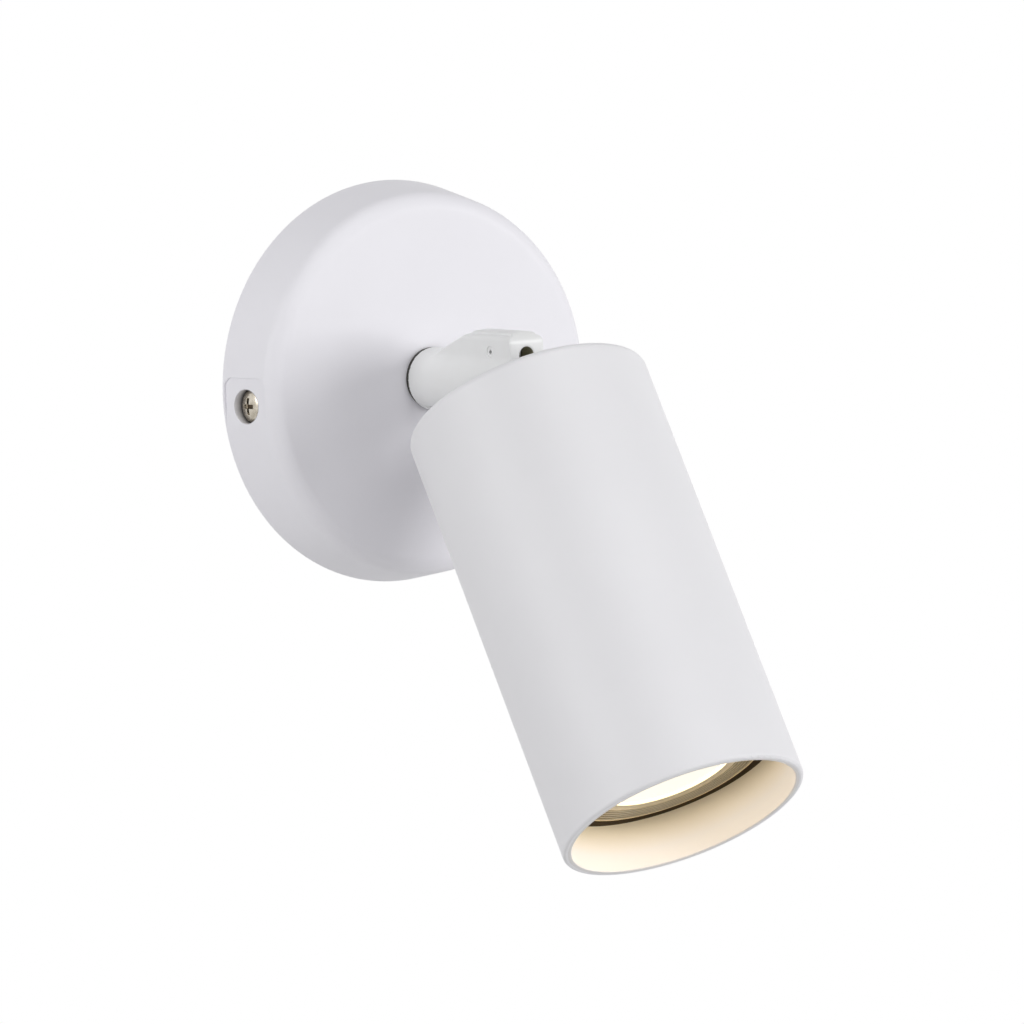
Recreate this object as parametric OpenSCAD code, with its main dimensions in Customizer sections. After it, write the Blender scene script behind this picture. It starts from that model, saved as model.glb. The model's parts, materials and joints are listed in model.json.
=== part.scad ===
// Wall spotlight: a round canopy on a wall strap, a stem that turns on the canopy,
// and a tubular head that tilts on a pin in the stem's knuckle.
// The origin is the middle of the canopy's open back, on the wall. The wall is the
// plane Y = 0, the lamp stands off towards -Y, and +Z is up. Sizes are millimetres.

/* [Canopy] */
// Radius of the canopy where it meets the wall
canopy_r = 50; // [48:0.5:60]
// How far the front of the canopy stands off the wall
canopy_depth = 17.8; // [17:0.2:24]
// Draft of the canopy's side wall, in degrees
canopy_draft = 10.5; // [0:0.5:12]
// Outer radius of the canopy's front edge
canopy_edge_r = 4.75; // [2:0.25:5]
// Sheet thickness of the canopy
canopy_t = 1.2; // [0.8:0.1:1.4]
// Radius of the pressed recess round each side screw
recess_r = 4.2; // [4:0.1:4.6]
// Depth of that recess, from the side wall to its floor
recess_depth = 3.1; // [2.6:0.1:4]
// Width of the flat pressed into the side wall round that recess
patch_w = 14; // [11:0.5:15]
// Depth of that flat at its middle
patch_depth = 0.5; // [0.3:0.05:0.6]

/* [Wall strap] */
// Width of the strap
strap_w = 18; // [16:1:22]
// Sheet thickness of the strap
strap_t = 1.5; // [1:0.1:2]
// Distance between the two wall screws
wall_screw_spacing = 60; // [50:1:62]
// Width of the slots for the wall screws
slot_w = 4.6; // [4:0.1:6]
// End-to-end length of those slots
slot_len = 12; // [8:1:16]
// Radius of the hole where the supply cable comes out of the wall
cable_entry_r = 6; // [5:0.5:6.5]
// Width of the upturned tabs that take the side screws
tab_w = 14; // [10:1:16]
// Height of the tabs off the wall
tab_h = 14; // [12:0.5:14.5]
// How far off the wall the side screws sit
side_screw_out = 7.5; // [7:0.1:8.5]
// Height of the right side screw above the strap's middle; the left one is as far below
side_screw_up = 3; // [-3:0.5:3]
// Width of the ear that carries the terminal block
ear_w = 32; // [30:1:36]
// How far the ear reaches above the middle of the strap
ear_up = 27.5; // [26:0.5:30]

/* [Side screws] */
// Thread radius of the side screws
side_screw_r = 2; // [1.5:0.25:2]
// Length of the side screws under the head
side_screw_len = 8; // [6:1:12]
// Radius of the screw heads
screw_head_r = 3.75; // [3.4:0.05:3.8]
// Height of the screw heads
screw_head_h = 2.2; // [1.8:0.1:2.4]

/* [Terminal block] */
// Height of the middle of the block above the lamp's axis
terminal_up = 19; // [18.5:0.5:20]
// Distance between two poles
pole_pitch = 10; // [9:0.5:10.5]
// Length of the block along its poles
terminal_len = 16; // [15:0.5:16.5]
// How far the block stands off the strap
terminal_h = 11; // [10:0.5:12]

/* [Stem and knuckle] */
// Height of the stem's axis above the canopy's middle
stem_up = 1.4; // [0:0.1:2]
// Radius of the stem
stem_r = 7.8; // [7.4:0.1:9]
// Thickness of the dark washer between the stem and the canopy
stem_washer_t = 1; // [0.6:0.1:1.6]
// Distance of the knuckle's front face from the wall
knuckle_out = 59.3; // [59:0.1:59.4]
// Width of the raised part of the knuckle
fin_w = 10; // [9:0.2:10.6]
// Height of the raised part above the stem's axis
fin_top = 13.2; // [13:0.1:15]
// Where the ramp up to the raised part begins, from the wall
ramp_start = 25.2; // [22:0.1:30]
// Where that ramp ends, from the wall
ramp_end = 42.5; // [36:0.1:44]
// Radius of its upper front corner
fin_nose_r = 3; // [1:0.25:4]
// Width of the upper slot that takes the tongue
fork_gap = 4.2; // [4:0.1:4.6]
// Width of the lower slot that takes the neck
neck_gap = 11; // [10.8:0.1:12]
// Radius of the bore for the wires
wire_bore_r = 3.5; // [3:0.1:3.6]

/* [Swivel] */
// Thread radius of the hollow nipple
nipple_r = 5; // [4.8:0.1:5.4]
// How far the nipple reaches into the stem
nipple_in = 11; // [8:0.5:14]
// Width across the flats of the swivel nut
swivel_nut_af = 14; // [13.5:0.5:15]

/* [Tilt hinge] */
// Distance of the tilt pin from the wall
pivot_out = 50.7; // [50.6:0.1:51]
// Height of the tilt pin above the stem's axis
pivot_up = 8.1; // [8:0.1:8.4]
// Radius of the tilt pin
pin_r = 1.25; // [1:0.05:1.5]
// Bore radius of the hollow tilt pin
pin_bore_r = 0.55; // [0.3:0.05:0.7]
// Thickness of the tongue
tongue_t = 3; // [2.8:0.05:3.1]
// Radius of the tongue's eye
eye_r = 3.6; // [3.2:0.1:3.8]
// Radius of the neck between the tongue and the head
neck_r = 5.2; // [5:0.1:5.3]
// Distance of the head's rear face from the tilt pin
hinge_reach = 14.8; // [14.7:0.1:16]
// Tilt of the head below the horizontal as shown, in degrees
tilt = 57.5; // [0:0.5:90]

/* [Head] */
// Outer radius of the head
head_r = 30.4; // [30:0.1:34]
// Length of the head
head_len = 113.6; // [110:0.2:130]
// Wall thickness of the tube
head_wall = 1.2; // [1:0.05:1.6]
// Wall thickness of the ring inside the mouth
ring_wall = 0.9; // [0.7:0.05:1]
// Length of that ring
ring_len = 12.4; // [10:0.2:14]
// Thickness of the closed rear end
head_rear_t = 2; // [1.5:0.1:3]
// Outer radius of the rear edge
head_edge_r = 2; // [1:0.1:3]
// Thread radius of the hollow stub that holds the head on its hinge
stub_r = 4; // [4:0.1:4.4]

/* [Lamp] */
// Depth of the lamp's front inside the mouth of the head
lamp_recess = 12; // [10:0.5:16]
// Radius of the lamp at its front
lamp_r = 24.8; // [24.5:0.1:25.2]
// Length of the lamp without its pins
lamp_len = 46.5; // [45:0.5:50]
// Radius of the lamp's lit lens
lens_r = 16.8; // [15:0.2:19]
// Distance between the middles of the two lamp pins
lamp_pin_pitch = 10; // [9.8:0.1:10.2]
// Height of the lampholder with its back plate
holder_h = 15; // [14:0.5:18]
// Radius of the lampholder
holder_r = 17.5; // [17:0.1:18.5]

/* [Wires] */
// Radius of one insulated lead
lead_r = 0.75; // [0.6:0.05:0.8]
// Radius of the sleeve round the leads in the stem
sleeve_r = 1.7; // [1.5:0.05:1.75]

/* [Fits] */
// Radial clearance of the parts that turn in a hole
running_fit = 0.07; // [0.05:0.01:0.1]
// Radial clearance of the screws in plain holes
screw_gap = 0.15; // [0.1:0.05:0.3]
// Gap between pieces that pass each other
free_gap = 0.3; // [0.2:0.05:0.5]

/* [Hidden] */
$fn = 96;

thread_fit = 0.03;
past = 1;
white = [0.93, 0.93, 0.95];
steel = [0.72, 0.72, 0.74];
brass = [0.80, 0.68, 0.38];
ceramic = [0.90, 0.88, 0.83];
nylon = [0.86, 0.86, 0.84];
dark = [0.16, 0.15, 0.15];
lead_colours = [[0.45, 0.27, 0.15], [0.35, 0.55, 0.25], [0.16, 0.30, 0.62]];
lead_names = [-1, 0, 1];

// Canopy and strap
side_wall_x = canopy_t / cos(canopy_draft);
recess_floor_x = canopy_r - side_screw_out * tan(canopy_draft) - recess_depth;
strap_half = recess_floor_x - canopy_t;
patch_tall = 14;
patch_corner_r = 2.5;
stop_lug_r = 1;
stop_lug_up = 9.6;

// Terminal block
terminal_w = 3 * pole_pitch;
pole_web = 1.8;
pole_half = 2.2;
pole_bore_r = 1.3;
pole_out = strap_t + terminal_h * 0.4;
terminal_screw_r = 1.5;
terminal_screw_len = 4;
terminal_slot_w = 0.6;
terminal_slot_depth = 0.8;
terminal_fixing_r = 1.25;
terminal_foot_t = 2;
terminal_fixing_head_h = 1.7;
earth_screw_x = 14;
earth_screw_r = 2;
earth_washer_r = 4.4;
earth_washer_t = 0.8;

// Stack on the nipple, as distances from the wall
stem_start = canopy_depth + stem_washer_t;
stem_washer_r = stem_r - 0.3;
washer_gap = 0.05;
inner_face = canopy_depth - canopy_t;
inner_washer_t = 0.8;
stop_washer_t = 1;
spring_washer_t = 1.4;
washer_slit = 0.8;
swivel_nut_t = 3;
inner_washer_out = inner_face - inner_washer_t;
stop_washer_out = inner_washer_out - stop_washer_t;
spring_washer_out = stop_washer_out - spring_washer_t;
swivel_nut_out = spring_washer_out - swivel_nut_t;
nipple_out = swivel_nut_out - 0.8;
nipple_bore_r = wire_bore_r;
key_flat = nipple_r - 0.8;
stack_r = 7.8;
stop_tab_r = stop_lug_up + stop_lug_r + 0.6;
stop_tab_w = 2.8;

// Knuckle
fin_crown_r = 13;
fin_edge_r = 1.6;
fin_fillet_r = 2.5;
fin_foot = sqrt(stem_r * stem_r - fin_w * fin_w / 4);
fin_side_top = fin_top - fin_crown_r + sqrt(fin_crown_r * fin_crown_r - fin_w * fin_w / 4);
nose_bevel = 0.8;
swing_gap = 0.4;
slot_drop = 0.75;
pocket_r = eye_r + free_gap;
neck_start = knuckle_out - pivot_out + swing_gap;
half_disc_r = neck_start - free_gap;
swing_r = hinge_reach - swing_gap;
flat_start = stem_start + 1.6;
neck_slot_out = pivot_out - neck_r - swing_gap;
pin_inset = 0.2;
tilt_washer_t = 0.45;
tilt_washer_r = 3.4;

// Head
stub_len = 8;
hinge_cap_t = 0.8;
channel_w = 2 * sleeve_r + 2.5;
tongue_front = 0.4;
head_inner_r = head_r - head_wall;
rim_edge_r = 0.8;
ring_edge_r = 0.3;
rear_inside = hinge_reach + head_rear_t;
bracket_t = 1.2;
tag_t = 0.6;
tag_w = 3.6;
tag_reach = stub_r + 9.5;
crimp_r = lead_r + 0.35;
crimp_len = 5;
crimp_depth = 3;
lock_washer_t = 0.8;
head_nut_t = 2.8;
head_nut_af = 13;
tag_start = rear_inside + bracket_t;
lock_start = tag_start + tag_t;
head_nut_start = lock_start + lock_washer_t;

// Lamp and lampholder, as distances from the tilt pin along the head
lamp_front = hinge_reach + head_len - lamp_recess;
lamp_foot = lamp_front - lamp_len;
holder_back_t = 3;
holder_rear = lamp_foot - holder_h;
holder_mid = holder_rear + holder_back_t;
holder_chamber_r = 10.6;
holder_face_t = 2.2;
holder_screw_x = 14;
holder_screw_r = 1.5;
holder_screw_head_r = 2.6;
holder_screw_head_h = 1.9;
holder_sink = 2.4;
holder_screw_seat = lamp_foot - holder_sink;
foot_in = holder_screw_x - 4;
key_turn = 32;
contact_t = 0.8;
contact_w = 4;
bracket_half = holder_r + 0.5;
bracket_w = 12;
foot_start = holder_rear - bracket_t;
lamp_base_r = 13.2;
lamp_base_len = 12;
lamp_base_floor = 3;
lamp_base_wall = 1.4;
lamp_pin_r = 1.6;
lamp_pin_head_r = 2.5;
lamp_pin_len = 7.5;
lamp_pin_head_len = 2.5;
shell_t = 1.2;
bezel_depth = 1.6;
rib_count = 5;
rib_margin = 2.6;
rib_edge = 0.5;
rib_depth = 0.6;
lens_dome_r = 120;
lens_edge_t = 0.8;
bezel_in_r = lens_r + 0.1;
collar_t = 1.4;
board_r = bezel_in_r + collar_t / 2;
board_t = 1.2;
board_back = 9;
chip_ring_r = 7;
chip_w = 2.8;
chip_t = 0.7;
post_r = 2;
post_len = 7.2;
driver_w = 18;
driver_t = 1.6;
driver_len = lamp_len - lamp_base_len - board_back - post_len - 2.3;
driver_tail_w = 21;
driver_tail_t = 1.4;
driver_tail_len = lamp_base_len - lamp_base_floor - 0.2;
capacitor_r = 3.2;
capacitor_len = 9;
coil_w = 6;
coil_len = 8;
coil_depth = 3.8;

// Routes of the wires
sleeve_dip = -1.6;
sleeve_end = neck_slot_out - 4.2;
relief_len = 4;
neck_end = hinge_reach + 4.3;
sleeve_tip = hinge_reach + stub_len + 3;
leads_out = nipple_out - free_gap - 0.2;
terminal_entry_up = terminal_up - terminal_len / 2;

// A piece drawn with its axis up, laid so that the axis points away from the wall:
// x stays x, y becomes up, and z becomes the distance from the wall
module off_wall() {
    rotate([90, 0, 0]) children();
}

// The same, with its axis on the stem's axis
module off_stem() {
    translate([0, 0, stem_up]) off_wall() children();
}

module at_pivot() {
    translate([0, -pivot_out, stem_up + pivot_up]) children();
}

// A piece of the head, drawn with z along the head from the tilt pin
module at_head() {
    at_pivot() rotate([90 + tilt, 0, 0]) children();
}

// A side view, drawn as distance from the wall and height, extruded across the lamp
module across(width) {
    rotate([90, 0, -90]) linear_extrude(width, center = true) children();
}

module both_sides() {
    for (turn = [0, 180]) rotate([0, 0, turn]) children();
}

module ring(outer, inner, height) {
    difference() {
        cylinder(r = outer, h = height);
        translate([0, 0, -past]) cylinder(r = inner, h = height + 2 * past);
    }
}

module hex_nut(across_flats, bore_r, height) {
    difference() {
        cylinder(r = across_flats / sqrt(3), h = height, $fn = 6);
        translate([0, 0, -past]) cylinder(r = bore_r, h = height + 2 * past);
    }
}

// Screw head with a domed top, its underside at z = 0, with a cross recess or a slot
module screw_head(r, h, cross = true) {
    crown = 0.4 * h;
    dome_r = (r * r + crown * crown) / (2 * crown);
    slot_half = r * 0.14;
    difference() {
        rotate_extrude() intersection() {
            square([r, h]);
            translate([0, h - dome_r]) circle(dome_r);
        }
        for (turn = cross ? [0, 90] : [0])
            rotate([0, 0, turn]) translate([-r * (cross ? 0.55 : 1.2), -slot_half, h - 1.1])
                cube([r * (cross ? 1.1 : 2.4), 2 * slot_half, 2 * past]);
    }
}

function unit(v) = v / norm(v);

// Middle of one of the three leads that lie side by side in the sleeve
function in_sleeve(angle, z) =
    let (spread = lead_r * 1.2) [spread * cos(angle), spread * sin(angle), z];

// Points on a smooth curve from a to b that leaves along da and arrives along db
function route(a, da, b, db, steps) = [
    for (i = [0:steps])
        let (t = i / steps, s = 1 - t)
            s * s * s * a + 3 * s * s * t * (a + da) + 3 * s * t * t * (b - db) + t * t * t * b
];

// A closed tube of eight sides along the points
module wire(points, r) {
    sides = 8;
    last = len(points) - 1;
    skin = [
        for (i = [0:last])
            let (
                along = unit(points[min(i + 1, last)] - points[max(i - 1, 0)]),
                side = unit(cross(along, [1, 0.02, 0.01])),
                up = cross(along, side)
            )
                for (k = [0:sides - 1])
                    points[i] + r * (cos(360 * k / sides) * side + sin(360 * k / sides) * up)
    ];
    walls = [
        for (i = [0:last - 1])
            for (k = [0:sides - 1])
                let (a = i * sides + k, b = i * sides + (k + 1) % sides)
                    for (face = [[a, b, b + sides], [a, b + sides, a + sides]]) face
    ];
    start_cap = [for (k = [1:sides - 2]) [0, k + 1, k]];
    end_cap = [for (k = [1:sides - 2]) [last * sides, last * sides + k, last * sides + k + 1]];
    polyhedron(skin, concat(walls, start_cap, end_cap));
}

// Half section of the canopy's envelope: a drafted wall and a rounded front edge
module canopy_section(r, depth, edge, foot) {
    centre_out = depth - edge;
    centre_x = r - centre_out * tan(canopy_draft) - edge / cos(canopy_draft);
    polygon([
        [0, foot],
        [r - foot * tan(canopy_draft), foot],
        [centre_x + edge * cos(canopy_draft), centre_out + edge * sin(canopy_draft)],
        [centre_x, depth],
        [0, depth]
    ]);
    translate([centre_x, centre_out]) circle(edge);
}

// Places a piece on both side screws' axes, with its own z pointing outwards
module at_side_screws(x) {
    both_sides() translate([x, side_screw_up, side_screw_out]) rotate([0, 90, 0]) children();
}

// Square with rounded corners, as deep as the sheet is thick, that sinks into the side wall
module side_patch() {
    inner = patch_w / 2 - patch_corner_r;
    linear_extrude(2 * canopy_t) {
        square([patch_tall, 2 * inner], center = true);
        square([patch_tall - 2 * patch_corner_r, patch_w], center = true);
        for (x = [-1, 1], y = [-1, 1])
            translate([x * (patch_tall / 2 - patch_corner_r), y * inner]) circle(patch_corner_r);
    }
}

module canopy() {
    color(white) off_wall() difference() {
        union() {
            difference() {
                rotate_extrude() canopy_section(canopy_r, canopy_depth, canopy_edge_r, 0);
                rotate_extrude()
                    canopy_section(canopy_r - side_wall_x, inner_face, canopy_edge_r - canopy_t, -past);
            }
            intersection() {
                rotate_extrude() canopy_section(canopy_r, canopy_depth, canopy_edge_r, 0);
                at_side_screws(strap_half) cylinder(r = recess_r + canopy_t, h = canopy_r);
            }
            translate([0, stem_up + stop_lug_up, stop_washer_out])
                cylinder(r = stop_lug_r, h = canopy_depth - canopy_t / 2 - stop_washer_out);
        }
        both_sides() translate([canopy_r - side_screw_out * tan(canopy_draft), side_screw_up,
                                side_screw_out])
            rotate([0, 90 - canopy_draft, 0]) translate([0, 0, -patch_depth]) side_patch();
        at_side_screws(recess_floor_x) cylinder(r = recess_r, h = canopy_r);
        at_side_screws(strap_half - past)
            cylinder(r = side_screw_r + screw_gap, h = canopy_t + 2 * past);
        translate([0, stem_up, inner_face - past])
            cylinder(r = nipple_r + running_fit, h = canopy_t + 2 * past);
    }
}

module wall_strap() {
    color(steel) off_wall() difference() {
        union() {
            translate([-strap_half, -strap_w / 2, 0]) cube([2 * strap_half, strap_w, strap_t]);
            both_sides() translate([strap_half - strap_t, -tab_w / 2, 0])
                cube([strap_t, tab_w, tab_h]);
            translate([-ear_w / 2, 0, 0]) cube([ear_w, ear_up, strap_t]);
        }
        translate([0, 0, -past]) cylinder(r = cable_entry_r, h = strap_t + 2 * past);
        both_sides() translate([wall_screw_spacing / 2, 0, -past]) {
            for (end = [-1, 1])
                translate([end * (slot_len - slot_w) / 2, 0, 0])
                    cylinder(r = slot_w / 2, h = strap_t + 2 * past);
            translate([-(slot_len - slot_w) / 2, -slot_w / 2, 0])
                cube([slot_len - slot_w, slot_w, strap_t + 2 * past]);
        }
        at_side_screws(strap_half - strap_t - past)
            cylinder(r = side_screw_r + thread_fit, h = strap_t + 2 * past);
        for (side = [-1, 1])
            translate([side * pole_pitch / 2, terminal_up, -past])
                cylinder(r = terminal_fixing_r + thread_fit, h = strap_t + 2 * past);
        translate([earth_screw_x, 0, -past])
            cylinder(r = earth_screw_r + thread_fit, h = strap_t + 2 * past);
    }
}

module side_screws() {
    color(steel) off_wall() at_side_screws(recess_floor_x) {
        screw_head(screw_head_r, screw_head_h);
        translate([0, 0, -side_screw_len])
            cylinder(r = side_screw_r, h = side_screw_len + thread_fit);
    }
}

module at_poles() {
    for (pole = lead_names) translate([pole * pole_pitch, terminal_up, 0]) children();
}

module terminal_block() {
    color(nylon) off_wall() difference() {
        union() {
            translate([-terminal_w / 2, terminal_up - terminal_len / 2, strap_t])
                cube([terminal_w, terminal_len, terminal_foot_t]);
            at_poles() translate([(pole_web - pole_pitch) / 2, -terminal_len / 2, strap_t])
                cube([pole_pitch - pole_web, terminal_len, terminal_h]);
        }
        at_poles() {
            translate([0, terminal_len / 2 + past, pole_out]) rotate([90, 0, 0])
                cylinder(r = pole_half + thread_fit, h = terminal_len + 2 * past);
            for (end = [-1, 1])
                translate([0, end * terminal_len / 4, pole_out])
                    cylinder(r = terminal_screw_r + free_gap, h = terminal_h);
        }
        for (side = [-1, 1])
            translate([side * pole_pitch / 2, terminal_up, 0]) {
                cylinder(r = terminal_fixing_r + screw_gap, h = terminal_h);
                translate([0, 0, strap_t + terminal_foot_t])
                    cylinder(r = 2 * terminal_fixing_r + free_gap, h = terminal_h);
            }
    }
}

module terminal_poles() {
    color(brass) off_wall() at_poles() translate([0, 0, pole_out]) difference() {
        translate([0, terminal_len / 2 - 0.5, 0]) rotate([90, 0, 0])
            cylinder(r = pole_half, h = terminal_len - 1);
        translate([0, terminal_len / 2 + past, 0]) rotate([90, 0, 0])
            cylinder(r = pole_bore_r, h = terminal_len + 2 * past);
        for (end = [-1, 1])
            translate([0, end * terminal_len / 4, 0])
                cylinder(r = terminal_screw_r + thread_fit, h = terminal_h);
    }
}

module terminal_screws() {
    color(steel) off_wall() at_poles() for (end = [-1, 1])
        translate([0, end * terminal_len / 4, pole_out + lead_r + thread_fit]) difference() {
            cylinder(r = terminal_screw_r, h = terminal_screw_len);
            translate([0, 0, terminal_screw_len - terminal_slot_depth + past / 2])
                cube([4 * terminal_screw_r, terminal_slot_w, past], center = true);
        }
}

module terminal_fixings() {
    color(steel) off_wall() for (side = [-1, 1])
        translate([side * pole_pitch / 2, terminal_up, strap_t + terminal_foot_t]) {
            screw_head(2 * terminal_fixing_r, terminal_fixing_head_h);
            translate([0, 0, -terminal_foot_t - strap_t])
                cylinder(r = terminal_fixing_r, h = terminal_foot_t + strap_t + thread_fit);
        }
}

module earth_screw() {
    color(brass) off_wall() translate([earth_screw_x, 0, strap_t]) {
        translate([0, 0, earth_washer_t]) screw_head(screw_head_r, screw_head_h, cross = false);
        cylinder(r = earth_washer_r, h = earth_washer_t);
        translate([0, 0, -strap_t]) cylinder(r = earth_screw_r, h = strap_t + past);
    }
}

// Three leads from the sleeve's end, up into the terminal block's lower side
module canopy_leads() {
    off_wall() for (i = lead_names)
        color(lead_colours[i + 1])
            wire(concat(
                route([0, stem_up, 0] + in_sleeve(90 - 120 * i, leads_out), [i * 0.6, 0.6, -3.4],
                      [i * pole_pitch, terminal_entry_up - 1, pole_out], [0, 4, 0], 14),
                [[i * pole_pitch, terminal_up - 2, pole_out]]), lead_r);
}

module stem_washer() {
    color(dark) off_stem() translate([0, 0, canopy_depth + washer_gap])
        ring(stem_washer_r, nipple_r + screw_gap, stem_washer_t - washer_gap);
}

// Cross section of the raised part: crowned on top, and blended into the stem at its foot
module fin_section() {
    fillet_x = fin_w / 2 + fin_fillet_r;
    fillet_up = sqrt((stem_r + fin_fillet_r) * (stem_r + fin_fillet_r) - fillet_x * fillet_x);
    for (side = [-1, 1]) difference() {
        polygon([[0, 0], [side * fillet_x, fillet_up], [side * fin_w / 2, fillet_up]]);
        translate([side * fillet_x, fillet_up]) circle(fin_fillet_r);
    }
    intersection() {
        translate([0, fin_top - fin_crown_r]) circle(fin_crown_r);
        union() {
            translate([-fin_w / 2, 0]) square([fin_w, fin_side_top - fin_edge_r]);
            translate([-fin_w / 2 + fin_edge_r, 0]) square([fin_w - 2 * fin_edge_r, fin_top]);
            for (side = [-1, 1])
                translate([side * (fin_w / 2 - fin_edge_r), fin_side_top - fin_edge_r])
                    circle(fin_edge_r);
        }
    }
}

module knuckle_blank() {
    off_wall() rotate_extrude() {
        translate([0, stem_start]) square([stem_r, knuckle_out - stem_start - nose_bevel]);
        translate([0, stem_start]) square([stem_r - nose_bevel, knuckle_out - stem_start]);
        translate([stem_r - nose_bevel, knuckle_out - nose_bevel]) circle(nose_bevel);
    }
    intersection() {
        off_wall() translate([0, 0, ramp_start])
            linear_extrude(knuckle_out - ramp_start) fin_section();
        across(fin_w + 2 * fin_fillet_r) {
            polygon([
                [ramp_start, 0],
                [ramp_start, fin_foot],
                [ramp_end, fin_top],
                [knuckle_out - fin_nose_r, fin_top],
                [knuckle_out, fin_top - fin_nose_r],
                [knuckle_out, 0]
            ]);
            translate([knuckle_out - fin_nose_r, fin_top - fin_nose_r]) circle(fin_nose_r);
        }
    }
}

module knuckle_stem() {
    slot_front = knuckle_out + past;
    color(white) translate([0, 0, stem_up]) difference() {
        knuckle_blank();
        across(3 * stem_r) difference() {
            translate([pivot_out, -2 * stem_r]) square([2 * stem_r, 2 * stem_r + pivot_up]);
            translate([pivot_out, pivot_up]) circle(swing_r);
        }
        across(3 * stem_r) translate([flat_start, pivot_up - swing_r - stem_r])
            square([pivot_out - flat_start + past, stem_r]);
        across(fork_gap) {
            translate([pivot_out, pivot_up]) circle(pocket_r);
            translate([pivot_out - pocket_r, -2 * stem_r])
                square([slot_front - pivot_out + pocket_r, 2 * stem_r + pivot_up - slot_drop]);
        }
        off_wall() translate([0, pivot_up - slot_drop, pivot_out])
            cylinder(r = fork_gap / 2, h = slot_front - pivot_out);
        across(neck_gap) difference() {
            translate([neck_slot_out, -2 * stem_r])
                square([slot_front - neck_slot_out, 2 * stem_r + pivot_up]);
            translate([pivot_out, pivot_up]) circle(half_disc_r);
        }
        across(2 * wire_bore_r) translate([neck_slot_out - relief_len, -2 * stem_r])
            square([relief_len + past, 2 * stem_r]);
        off_wall() translate([0, 0, stem_start - past]) {
            cylinder(r = wire_bore_r, h = neck_slot_out - stem_start + 2 * past);
            cylinder(r = nipple_r + thread_fit, h = nipple_in + past);
        }
        translate([0, -pivot_out, pivot_up]) rotate([0, 90, 0])
            cylinder(r = pin_r + thread_fit, h = 2 * fin_w, center = true);
    }
}

module nipple_key(r) {
    difference() {
        circle(r);
        translate([-r, key_flat + r - nipple_r]) square([2 * r, r]);
    }
}

module stem_nipple() {
    color(steel) off_stem() difference() {
        union() {
            translate([0, 0, nipple_out]) linear_extrude(inner_washer_out - nipple_out)
                nipple_key(nipple_r);
            translate([0, 0, inner_washer_out])
                cylinder(r = nipple_r, h = stem_start + nipple_in - inner_washer_out);
        }
        translate([0, 0, nipple_out - past])
            cylinder(r = nipple_bore_r, h = stem_start + nipple_in - nipple_out + 2 * past);
    }
}

module inner_washer() {
    color(dark) off_stem() translate([0, 0, inner_washer_out])
        ring(stack_r, nipple_r + screw_gap, inner_washer_t - washer_gap);
}

// Keyed to the nipple's flat; its tab meets the lug in the canopy at each end of the turn
module stop_washer() {
    color(steel) off_stem() translate([0, 0, stop_washer_out])
        linear_extrude(stop_washer_t) difference() {
            union() {
                circle(stack_r);
                translate([-stop_tab_w / 2, -stop_tab_r]) square([stop_tab_w, stop_tab_r]);
            }
            nipple_key(nipple_r + running_fit);
        }
}

module spring_washer() {
    color(steel) off_stem() translate([0, 0, spring_washer_out]) difference() {
        ring(stack_r - 0.2, nipple_r + screw_gap, spring_washer_t);
        rotate([0, 25, 0]) translate([-washer_slit / 2, 0, -2 * past])
            cube([washer_slit, 2 * stack_r, 6 * past]);
    }
}

module swivel_nut() {
    color(steel) off_stem() translate([0, 0, swivel_nut_out])
        hex_nut(swivel_nut_af, nipple_r + thread_fit, swivel_nut_t);
}

module tilt_pin() {
    color(white) at_pivot() rotate([0, 90, 0])
        translate([0, 0, pin_inset - fin_w / 2]) ring(pin_r, pin_bore_r, fin_w - 2 * pin_inset);
}

module tilt_washers() {
    color(steel) at_pivot() rotate([0, 90, 0]) for (side = [0, 1])
        mirror([0, 0, side]) translate([0, 0, fork_gap / 2 - tilt_washer_t])
            ring(tilt_washer_r, pin_r + screw_gap, tilt_washer_t);
}

module stem_sleeve() {
    color(dark) off_stem()
        wire(route([0, 0, nipple_out], [0, 0, 12], [0, sleeve_dip, sleeve_end],
                   [0, sleeve_dip / 2, 12], 12), sleeve_r);
}

// The stretch that bends as the head tilts, from the stem's bore into the neck
function from_pivot(along, across_head) = [
    0,
    pivot_up - along * sin(tilt) + across_head * cos(tilt),
    pivot_out + along * cos(tilt) + across_head * sin(tilt)
];

module knuckle_sleeve() {
    leave = sleeve_end + free_gap;
    color(dark) off_stem()
        wire(concat(
            [[0, sleeve_dip, leave]],
            route([0, sleeve_dip, leave + 0.8], [0, -8, 10], from_pivot(neck_end, 0),
                  from_pivot(neck_end, 0) - from_pivot(9, 0.6), 20)), sleeve_r);
}

module head_hinge() {
    color(white) at_head() difference() {
        union() {
            rotate([0, 90, 0]) cylinder(r = eye_r, h = tongue_t, center = true);
            translate([-tongue_t / 2, -eye_r, 0])
                cube([tongue_t, eye_r + tongue_front, neck_start + hinge_cap_t / 2]);
            translate([0, 0, neck_start]) cylinder(r = neck_r, h = hinge_reach - neck_start);
            translate([0, 0, hinge_reach - past]) cylinder(r = stub_r, h = stub_len + past);
        }
        rotate([0, 90, 0]) cylinder(r = pin_r + running_fit, h = 2 * tongue_t, center = true);
        translate([0, 0, neck_start + hinge_cap_t])
            cylinder(r = channel_w / 2, h = hinge_reach + stub_len);
        translate([-channel_w / 2, -neck_r - past, neck_start + hinge_cap_t])
            cube([channel_w, neck_r + past, hinge_reach - neck_start - hinge_cap_t]);
    }
}

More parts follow.
